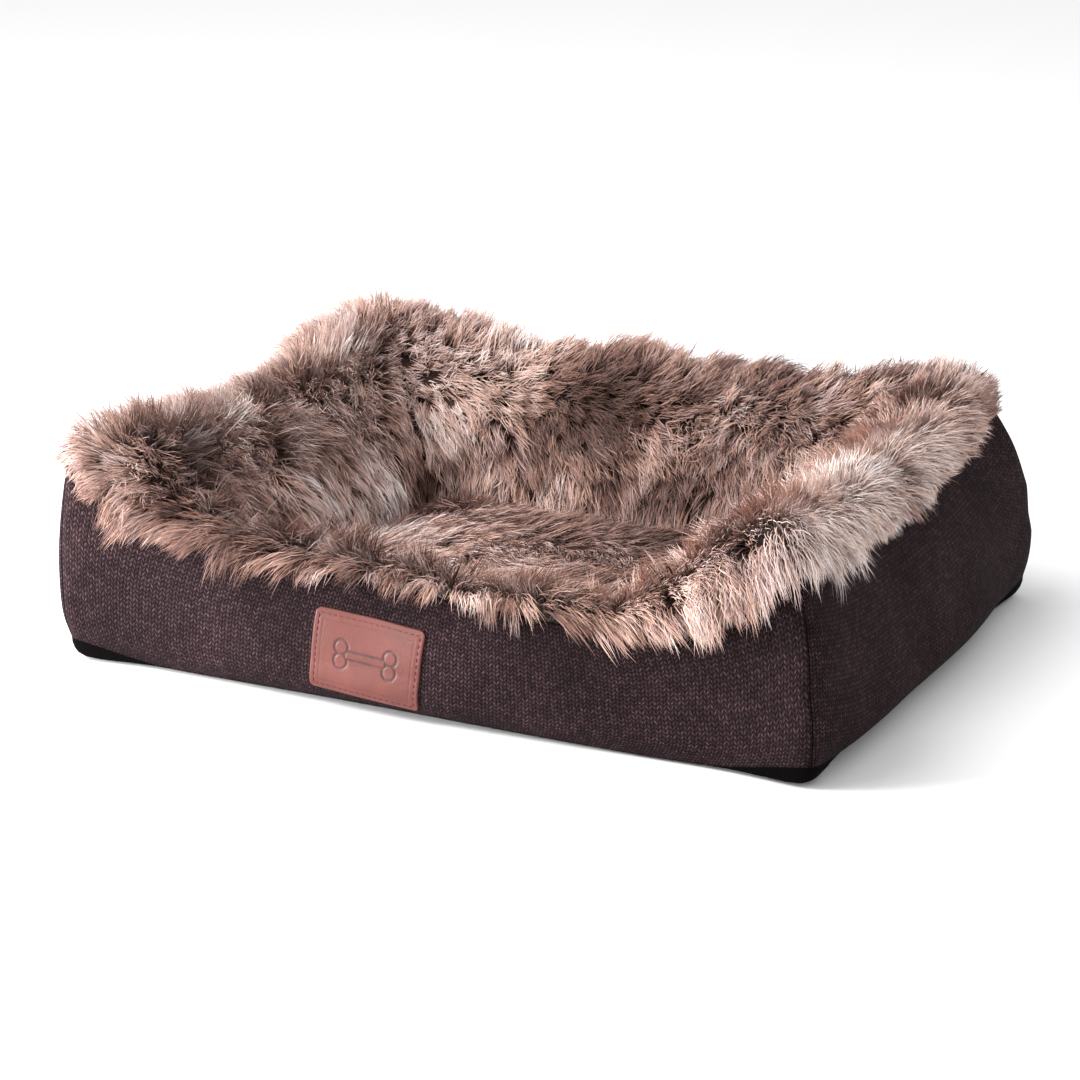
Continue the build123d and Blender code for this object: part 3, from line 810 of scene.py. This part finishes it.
def grow(skin, density, clumps, style, per_clump=20, clump_radius=0.0042):
    """Clumped strands on a skin, as arrays by name.
    style(points, row, column) gives first and last directions in the skin's own axes
    (normal, along, down), a world pull, the length and the gather, for each clump."""
    columns, rows = skin.points.shape[:2]
    weight = (skin.area * density)[:None if skin.wrap else -1, :-1]
    pick = draw.choice(weight.size, clumps, p=(weight / weight.sum()).ravel())
    centre_column = pick // weight.shape[1] + draw.random(clumps)
    centre_row = pick % weight.shape[1] + draw.random(clumps)
    heart = skin.at(skin.points, centre_column, centre_row)
    first, last, pull, length, gather = style(heart, centre_row, centre_column)
    first = first + draw.normal(0, 0.11, first.shape)
    last = last + draw.normal(0, 0.14, last.shape)
    length = length * draw.uniform(0.75, 1.2, clumps)
    gather = np.minimum(gather * draw.uniform(0.8, 1.2, clumps), 0.85)
    tone = fur_tone(heart) + draw.normal(0, 0.105, clumps)
    # strands of each clump
    who = np.repeat(np.arange(clumps), per_clump)
    count = len(who)
    shift = draw.normal(0, clump_radius, (count, 2))
    steps = [np.linalg.norm(skin.at(field, centre_column, centre_row), axis=1)[who]
             for field in (skin.along, skin.down)]
    column = centre_column[who] + shift[:, 0] / steps[0]
    row = np.abs(centre_row[who] + shift[:, 1] / steps[1])
    row = np.where(row > rows - 1, 2 * (rows - 1) - row, row)
    if not skin.wrap:
        column = np.abs(column)
        column = np.where(column > columns - 1, 2 * (columns - 1) - column, column)
    root = skin.at(skin.points, column, row)
    axes = [unit(skin.at(field, column, row)) for field in (skin.normal, skin.along, skin.down)]

    def in_world(parts):
        return sum(parts[:, k:k + 1] * axis for k, axis in enumerate(axes))

    begin = unit(in_world(first[who] + draw.normal(0, 0.08, (count, 3))) + pull[who] * 0.4)
    end = unit(in_world(last[who] + draw.normal(0, 0.10, (count, 3))) + pull[who])
    long = (length[who] * draw.uniform(0.7, 1.1, count))[:, None]
    offset = root - heart[who]
    phase = draw.uniform(0, 2 * pi, (count, 1))
    course = []
    for share in (0.34, 0.68, 1.0):
        reach = begin * share + (end - begin) * share ** 2 / 1.4
        sway = axes[1] * (0.0010 * np.sin(phase + 5 * share) * share)
        course.append(root + long * reach + sway - offset * (gather[who][:, None] * share ** 1.5))
    tone = tone[who] + draw.normal(0, 0.065, count)
    warm_clump = draw.random(clumps) < fur_warmth(heart)
    warm = warm_clump[who] ^ (draw.random(count) < 0.15)
    return {"column": column, "root": root - axes[0] * MM, "course": np.stack(course, 1),
            "tone": tone, "warm": warm, "facing": axes[0],
            "thick": draw.uniform(0.0006, 0.00105, count)}


# Longer tufts that hang over the front rim, in millimetres: place along X, width, how much longer
TUFTS = [(-215, 10, 0.3), (-150, 12, 0.2), (-10, 8, 0.55), (20, 7, 0.3), (47, 8, 0.35),
         (80, 12, 0.4), (128, 8, 0.55), (160, 7, 0.15), (215, 10, 0.15)]
# Where the pile is longer or shorter, and where it leans: place in plan, reach, then how much
LONGER = [((-270, 200), 60, -0.28), ((-30, 190), 50, 0.22), ((60, 190), 30, 0.15),
          ((300, 200), 30, -0.3)]
LEANS = [((280, 200), 45, (-0.1, 0, 1.1)), ((-280, -200), 50, (-0.15, 0, 0.75))]

# The fringe is held back where it would stand more than a margin outside the walls, in millimetres
OUTER, OUTER_MARGIN, FRINGE_HELD = ((-299, 299), (-214, 214), (0, 186)), 5, 0.6

# Where a wall's strands point, along its skin from the woven edge (0) to the nest floor (1)
LAY_AT = [0.0, 0.06, 0.14, 0.25, 0.40, 0.60, 0.85, 1.0]
FIRST_LIFT = [0.80, 0.82, 0.88, 0.85, 0.72, 0.68, 0.62, 0.60]
FIRST_DOWN = [-0.10, 0.00, 0.0, -0.05, 0.30, 0.50, 0.60, 0.60]
LAST_LIFT = [0.15, 0.28, 0.50, 0.55, 0.38, 0.28, 0.22, 0.20]
LAST_DOWN = [-1.0, -0.95, -0.55, -0.15, 0.45, 0.85, 1.0, 1.0]
LENGTH_MM = [26, 26, 25, 25, 25, 25, 22, 18]
# Which way each wall's fur is combed, on its upper half and near its foot
COMB = {"front": ((0.45, -0.1, 0), (0.2, 0, 0)), "right": ((-0.1, -0.45, 0), (0, -0.1, -0.2)),
        "back": ((0.95, 0, 0.35), (0.15, 0, -0.3)), "left": ((0.2, -0.5, 0), (0.1, -0.25, -0.25))}


def lining_grid(ring, rows=64):
    """The backing of the walls' fur, a little uneven where the filling is."""
    points = section_grid(ring, skin_curve(ring), rows)
    fade = np.interp(np.linspace(0, 1, rows), [0, 0.25, 0.5], [1, 0.6, 0])[None, :, None]
    points[..., :2] += corner_push(ring, EDGE_OUT)[:, None] * fade
    uneven = 0.0016 * ripple(points, 0.035, 21)
    return points + Skin(points, True).normal * uneven[..., None]


def wall_style(ring, rows):
    """How the strands lie on the walls, for grow."""
    combs = np.zeros((2, ring["starts"][-1], 3))
    for wall, leans in COMB.items():
        combs[:, wall_slice(ring, wall)[:-1]] = np.array(leans)[:, None]
    upper, lower = (soften(comb, 20) for comb in combs)
    total = ring["starts"][-1]
    ahead = np.min([(np.arange(total) - start) % total for start in ring["starts"][:-1]], axis=0)
    corner_side = np.where(ahead * STEP < 120, 1.0, -1.0)

    def style(heart, row, column):
        at = row / (rows - 1)
        swirl, part, tufts = (ripple(heart, size, seed)
                              for size, seed in ((0.032, 41), (0.028, 42), (0.017, 43)))
        lift, down, last_lift, last_down, length = (
            np.interp(at, LAY_AT, values)
            for values in (FIRST_LIFT, FIRST_DOWN, LAST_LIFT, LAST_DOWN, LENGTH_MM))
        first = np.stack([lift, 0.22 * swirl, down + 0.18 * part], 1)
        last = np.stack([last_lift + 0.10 * tufts, 0.32 * swirl, last_down + 0.18 * part], 1)
        length = length * MM * (1 + 0.22 * tufts + 0.12 * part)
        place = np.floor(column).astype(int) % total
        sink = np.interp(at, [0.3, 0.75], [0, 1])[:, None]
        hold = np.interp(at, [0.0, 0.12, 0.3], [0.15, 0.4, 1])[:, None]
        pull = (upper[place] * (1 - sink) + lower[place] * sink) * hold
        gather = np.where(at < 0.12, 0.55, 0.7)
        # single long hairs at the edge, and locks that stand out of the pile near the crest
        guard = (at < 0.08) & (draw.random(len(at)) < 0.08)
        stray = (at > 0.2) & (at < 0.5) & (draw.random(len(at)) < 0.035)
        length = length * np.where(guard, 1.35, 1) * np.where(stray, 1.3, 1)
        last[:, 0] += 0.5 * stray
        # the fringe hangs lowest on the front rim beside the patch, and is short at the sides
        hang = np.exp(-at / 0.10)
        extra = 0.22 * ripple(heart, 0.011, 44)
        front = heart[:, 1] < -0.17
        for centre, half, more in TUFTS:
            extra = extra + more * front * np.exp(-((heart[:, 0] / MM - centre) / half) ** 2)
        hanging = front * np.interp(heart[:, 0], [-0.24, -0.13, 0.10, 0.20], [0, 0.42, 0.42, 0])
        right = (heart[:, 0] > 0.2) * np.interp(heart[:, 1], [-0.14, -0.04], [0, 1])
        left = np.interp(heart[:, 0], [-0.27, -0.23], [1, 0])
        length = length * (1 + (extra + hanging - 0.5 * right - 0.3 * left) * hang)
        pull = pull + np.outer((0.6 * right - 0.15 - 0.35 * front) * hang, (0, 0, 1))

        def near(spot, reach):
            return np.exp(-np.sum((heart[:, :2] / MM - spot) ** 2, 1) / reach ** 2)

        for spot, reach, more in LONGER:
            length = length * (1 + more * near(spot, reach))
        for spot, reach, lean in LEANS:
            pull = pull + np.outer(near(spot, reach), lean)
        # the pile parts where two walls are sewn together, most of all at the back left
        apart = corner_side[place] * np.exp(-ring["from_corner"][place] / 9)
        back_left = (heart[:, 0] < 0) & (heart[:, 1] > 0)
        parting = np.interp(at, [0.35, 0.55], [0, 1]) * apart * np.where(back_left, 0.75, 0.3)
        first[:, 1] += parting
        last[:, 1] += parting
        return first, last, pull, length, gather

    return style


def make_wall_fur(ring, points, pile_shade, backing_shade):
    rows = points.shape[1]
    density = np.interp(np.linspace(0, 1, rows), [0, 0.05, 0.12, 0.6, 0.8, 1],
                        [2.0, 1.5, 1.15, 1.1, 0.6, 0.35])
    strands = grow(Skin(points, True), density, 8400, wall_style(ring, rows))
    course = strands["course"]
    course[..., 2] = np.maximum(course[..., 2], (FLOOR + 0.6) * MM)
    low, high = (np.array(OUTER).T + np.array([[-OUTER_MARGIN], [OUTER_MARGIN]])) * MM
    course -= FRINGE_HELD * (course - np.clip(course, low, high))
    place = strands.pop("column") % ring["starts"][-1]
    for wall, first, last in zip(WALLS, ring["starts"], ring["starts"][1:]):
        mine = (place >= first) & (place < last)
        pile = strands_object(f"fur_pile_{wall}", {key: part[mine] for key, part in strands.items()})
        finish_piece(pile, "bed", f"fur_lining_{wall}", pile_shade)
        grid = points[wall_slice(ring, wall)]
        backing = cloth_sheet(f"fur_backing_{wall}", grid, PILE_BACKING * MM)
        finish_piece(backing, "bed", f"fur_lining_{wall}", backing_shade)
        cut_sheet(grid)


# ---- Cushion, in metres ----
SEAM_Z, CUSHION_TOP = 0.041, 0.058
PUFF_STEPS, PUFF_MOST = 18, 0.006


def quarter_round(half, deep, power, count=300):
    """Plan scale and depth along a superellipse quarter, evenly spaced from centre to seam."""
    angle = np.linspace(0, pi / 2, count)
    scale, depth = np.sin(angle) ** (2 / power), np.cos(angle) ** (2 / power)
    length = lengths(np.stack([scale * half, depth * deep], 1))
    return length / length[-1], scale, depth


def pillow_grid(columns, rows, low, high, top_z, power, corner=0.3):
    """One side of a cushion: square rings of points from its centre out to its seam."""
    u, v = spans(columns, rows, -1)
    ring = np.maximum(np.abs(u), np.abs(v))
    safe = np.maximum(ring, 1e-9)
    eu, ev = u / safe, v / safe
    eu, ev = eu * np.sqrt(1 - corner * ev ** 2 / 2), ev * np.sqrt(1 - corner * eu ** 2 / 2)
    half, centre = (high - low) / 2, (low + high) / 2
    table, scale, depth = quarter_round((half.x + half.y) / 2, abs(top_z - SEAM_Z), power)
    spread, rise = np.interp(ring, table, scale), np.interp(ring, table, depth)
    return np.stack([centre.x + eu * half.x * spread, centre.y + ev * half.y * spread,
                     SEAM_Z + (top_z - SEAM_Z) * rise], -1)


def inflate(top, bottom, floor_z):
    """Blows the cushion's two sides up a little as cloth, so that they pull and pucker."""
    columns, rows = top.shape[:2]
    upper = np.arange(columns * rows).reshape(columns, rows)
    lower = upper.copy()
    inner = lower[1:-1, 1:-1]
    inner[:] = columns * rows + np.arange(inner.size).reshape(inner.shape)
    points = np.concatenate([top.reshape(-1, 3), bottom[1:-1, 1:-1].reshape(-1, 3)])
    quads = grid_faces(columns, rows)
    shell = mesh_object("cushion_cloth", points, [quads, lower.ravel()[quads][:, ::-1]])
    settings = shell.modifiers.new("cloth", "CLOTH").settings
    settings.use_pressure, settings.uniform_pressure_force = True, 2.5
    settings.effector_weights.gravity = 0
    settings.quality = 5
    settings.tension_stiffness = settings.compression_stiffness = 30
    settings.bending_stiffness = 2.0
    settings.shrink_min = -0.015
    scene = bpy.context.scene
    for step in range(1, PUFF_STEPS + 1):
        scene.frame_set(step)
    ready = shell.evaluated_get(bpy.context.evaluated_depsgraph_get()).to_mesh()
    moved = np.zeros(points.size)
    ready.vertices.foreach_get("co", moved)
    shift = moved.reshape(-1, 3) - points
    far = np.linalg.norm(shift, axis=1, keepdims=True)
    placed = points + shift * np.minimum(1, PUFF_MOST / np.maximum(far, 1e-9))
    placed[:, 2] = np.maximum(placed[:, 2], floor_z)
    bpy.data.objects.remove(shell)
    scene.frame_set(1)
    return placed[upper], placed[lower]


def cushion_style(heart, row, column):
    """How the strands lie on the cushion, for grow: in swirls, flatter away from the seam."""
    bend = ripple(heart, 0.022, 62)
    angle = 0.95 * ripple(heart, 0.055, 61) + 0.5 * bend
    rim = np.clip((heart[:, 2] - SEAM_Z) / 0.014, 0, 1)
    lay = np.stack([0.35 + 0.25 * (1 - rim), np.cos(angle), np.sin(angle)], 1)
    length = (0.0235 + 0.0025 * bend) * (0.75 + 0.25 * rim)
    return (lay + np.array([0.45, 0, 0]), lay * np.array([0.30, 1, 1]), np.zeros((len(heart), 3)),
            length, np.full(len(heart), 0.7))


def make_cushion(pile_shade, backing_shade, cloth_shade, fibre_shade):
    low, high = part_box("cushion_base_cover")
    columns, rows, inset = 92, 76, Vector((0.002, 0.002, 0))
    seam_low, seam_high = low + inset, high - inset
    seam_high.y = high.y - 0.0004
    top = pillow_grid(columns, rows, seam_low, seam_high, CUSHION_TOP, 3.0)
    bottom = pillow_grid(columns, rows, seam_low, seam_high, low.z + 0.0006, 6.0)
    top, bottom = inflate(top, bottom, low.z + 0.0005)
    for side in (top, bottom):
        side[..., 0] = np.clip(side[..., 0], low.x + 0.0006, high.x - 0.0006)
        side[..., 1] = np.clip(side[..., 1], low.y + 0.0006, high.y - 0.0001)
    uneven = (0.0012 * ripple(top, 0.04, 51))[..., None] * Skin(top, False).normal
    top = top + uneven * np.minimum(1, (top[..., 2:] - SEAM_Z) / 0.01)
    strands = grow(Skin(top, False), 1, 2300, cushion_style)
    strands["tone"] -= 0.12
    slack = Vector((0.0022, 0.0022))
    fur_low, fur_high = (corner.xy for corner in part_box("cushion_fur_top"))
    plan = strands["course"][..., :2]
    plan[:] = np.clip(plan, fur_low - slack, fur_high + slack)
    pile = strands_object("cushion_pile", strands)
    finish_piece(pile, "cushion", "cushion_fur_top", pile_shade)
    backing = cloth_sheet("cushion_backing", top, PILE_BACKING * MM)
    finish_piece(backing, "cushion", "cushion_fur_top", backing_shade)
    cut_sheet(top)
    cover = cloth_sheet("cushion_cover", bottom, COVER * MM, flip=True)
    finish_piece(cover, "cushion", "cushion_base_cover", cloth_shade)
    cut_sheet(bottom)
    centre = (top + bottom).mean((0, 1)) / 2
    inside = np.concatenate([top.reshape(-1, 3), bottom.reshape(-1, 3)])
    inside = centre + (inside - centre) * np.array([0.985, 0.982, 0.92])
    filling = mesh_object("cushion_filling", inside,
                          [grid_faces(columns, rows),
                           grid_faces(columns, rows, first=columns * rows, flip=True)])
    finish_piece(filling, "cushion", "cushion_fill", fibre_shade)


# ---- Patch, in metres ----
PATCH_ROUND, PATCH_THICK = 0.005, 0.0018
BORDER_IN, STITCH_IN, GROOVE_IN = 0.0072, 0.0034, 0.0036  # from the patch's edge
STITCH_PITCH, STITCH_LONG, STITCH_THICK = 0.0046, 0.0030, 0.00030


def bone(x, z):
    """Signed distance to a plain bone: a bar with two round knobs at each end, in millimetres."""
    bar = np.maximum(np.abs(x) - 15, np.abs(z) - 3.4)
    knobs = [np.hypot(np.abs(x) - 17, z - side * 4.4) - 5.4 for side in (-1, 1)]
    return np.minimum(bar, np.minimum(*knobs))


def patch_place(woven):
    """A function that puts places on the tilted patch onto the woven wall, out from its face."""
    centre = sum(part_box("label_patch"), Vector()) / 2
    tree = BVHTree.FromPolygons([tuple(v.co) for v in woven.data.vertices],
                                [tuple(p.vertices) for p in woven.data.polygons])

    def on_wall(x, z, out):
        across = centre.x + x * cos(PATCH_TILT) - z * sin(PATCH_TILT)
        up = centre.z + x * sin(PATCH_TILT) + z * cos(PATCH_TILT)
        made = []
        for a, b, o in zip(across.ravel(), up.ravel(), np.broadcast_to(out, x.shape).ravel()):
            hit = tree.ray_cast(Vector((a, -0.4, b)), Vector((0, 1, 0)))[0]
            made.append((a, hit.y - o, b))
        return np.array(made).reshape(*x.shape, 3)

    return on_wall


def make_stitches(half_x, half_z, on_wall, thread):
    """Saddle stitches round the patch, each a tube that dips into the leather at its ends."""
    places = []
    for along, aside, upright in ((half_x, half_z, False), (half_z, half_x, True)):
        count = round(2 * along / STITCH_PITCH)
        steps = (np.arange(count) + 0.5) * 2 * along / count - along
        places += [(step, side * aside, upright) for side in (-1, 1) for step in steps]
    share = np.linspace(-1, 1, 9)
    height = PATCH_THICK - 0.0002 + 0.0003 * np.sqrt(1 - share ** 2)
    lines, across = [], []
    for step, aside, upright in places:
        along, aside = step + share * STITCH_LONG / 2, np.full(len(share), aside)
        lines.append(on_wall(*((aside, along) if upright else (along, aside)), height))
        across.append([(1, 0, 0) if upright else (0, 0, 1)])
    thick = STITCH_THICK * np.sqrt(np.maximum(1 - share ** 4, 0.02))
    stitches = tubes("patch_stitches", np.array(lines), thick, np.array(across),
                     np.array([[[0, 1, 0]]]), 8, capped=True)
    finish_piece(stitches, "bed", "label_stitching", thread)


def make_patch(woven, leather, thread):
    low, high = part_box("label_patch")
    half_x, half_z = (high.x - low.x) / 2, (high.z - low.z) / 2
    flat_x, flat_z = half_x - PATCH_ROUND, half_z - PATCH_ROUND
    u, v = spans(171, 115, -1)
    x, z = u * half_x, v * half_z
    over_x, over_z = np.maximum(np.abs(x) - flat_x, 0), np.maximum(np.abs(z) - flat_z, 0)
    keep = np.minimum(1, PATCH_ROUND / np.maximum(np.hypot(over_x, over_z), 1e-9))
    x = np.sign(x) * (np.minimum(np.abs(x), flat_x) + over_x * keep)
    z = np.sign(z) * (np.minimum(np.abs(z), flat_z) + over_z * keep)
    from_edge = np.minimum(half_x - np.abs(x), half_z - np.abs(z))
    outline = np.abs(bone(x / MM / BONE_SCALE, z / MM / BONE_SCALE) + 0.8)
    printed = np.clip(1.6 - outline / 0.75, 0, 1)
    border = np.clip(1 - np.abs(from_edge - BORDER_IN) / 0.00055, 0, 1)
    groove = np.exp(-((from_edge - GROOVE_IN) / 0.0007) ** 2)
    edge_round = np.clip(1 - from_edge / 0.0009, 0, 1) ** 2
    wear = 0.75 + 0.25 * ripple(np.stack([x, z, 0 * x], -1), 0.004, 71)
    darker = np.maximum(np.maximum(printed * wear, 0.5 * border), 0.35 * edge_round)
    pressed_in = 0.00035 * printed + 0.00018 * border + 0.00015 * groove + 0.0007 * edge_round
    on_wall = patch_place(woven)
    patch = slab("leather_patch", on_wall(x, z, PATCH_THICK - pressed_in), on_wall(x, z, 0.0003))
    set_values(patch, "pressed", [darker, darker])
    finish_piece(patch, "bed", "label_patch", leather)
    make_stitches(half_x - STITCH_IN, half_z - STITCH_IN, on_wall, thread)


# ---- Zip, in metres ----
def make_zip(tape_shade, nylon, metal):
    low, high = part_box("zip_tape")
    u, v = spans(180, 25)
    ribs = 0.00012 * np.cos(v * 2 * pi * 6)
    points = np.stack([low.x + u * (high.x - low.x), high.y - 0.00015 + ribs,
                       low.z + v * (high.z - low.z)], -1)
    tape = cloth_sheet("zip_tape_cloth", points, TAPE * MM, flip=True)
    finish_piece(tape, "cushion", "zip_tape", tape_shade)
    low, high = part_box("zip_coil")
    pitch, thick = 0.0014, 0.00034
    deep, reach = (high.y - low.y) / 2 - thick, ((high.z - low.z) / 4 - thick / 2) * 1.25
    turns = int((high.x - low.x) / pitch) - 1
    angle = np.linspace(0, 2 * pi * turns, turns * 10 + 1)
    middle, lines = (low + high) / 2, []
    for side, late in ((-1, 0), (1, 0.5)):
        x = low.x + 0.001 + (angle / (2 * pi) + late) * pitch
        lines.append(np.stack([x, middle.y + deep * np.sin(angle),
                               middle.z + side * reach * (0.8 + np.cos(angle))], 1))
    lines = np.array(lines)
    aim = unit(np.gradient(lines, axis=1))
    across = unit(np.cross(aim, np.array([1.0, 0, 0])))
    coil = tubes("zip_coil_turns", lines, thick, across, np.cross(aim, across), 6)
    finish_piece(coil, "cushion", "zip_coil", nylon)
    for name in ("zip_stops", "zip_slider", "zip_pull_tab"):
        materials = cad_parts[name].data.materials
        materials.clear()
        materials.append(metal)


# ---- The whole bed ----
make_camera()
make_stage()
ring = ring_columns()
woven, lining = woven_grid(ring), lining_grid(ring)
make_woven(ring, woven, woven_material())
make_base(ring, woven, plain_cloth_material("anti_slip_cloth", (4, 2, 3), (10, 7, 8), sheen=0.0,
                                            shine=0.03))
white_fibre = fibre_material("polyester_fibre", (196, 194, 190), (240, 239, 236))
make_fillings(ring, woven, lining, white_fibre)
make_nest_floor(fibre_material("wadding", (200, 198, 194), (236, 235, 232)),
                plain_cloth_material("floor_lining", (58, 44, 42), (92, 72, 68)))
fur, backing = fur_material(), backing_material()
make_wall_fur(ring, lining, fur, backing)
make_cushion(fur, backing, plain_cloth_material("cushion_cloth", (66, 50, 48), (104, 82, 78)),
             white_fibre)
make_patch(bpy.data.objects["woven_front_panel"], leather_material(),
           thread_material("patch_thread", (84, 24, 28), (134, 48, 48)))
make_zip(plain_cloth_material("zip_tape", (48, 37, 38), (78, 62, 62), 0.0006), coil_material(),
         metal_material())

[[list(corner) for corner in box] for box in (cad_box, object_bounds())]
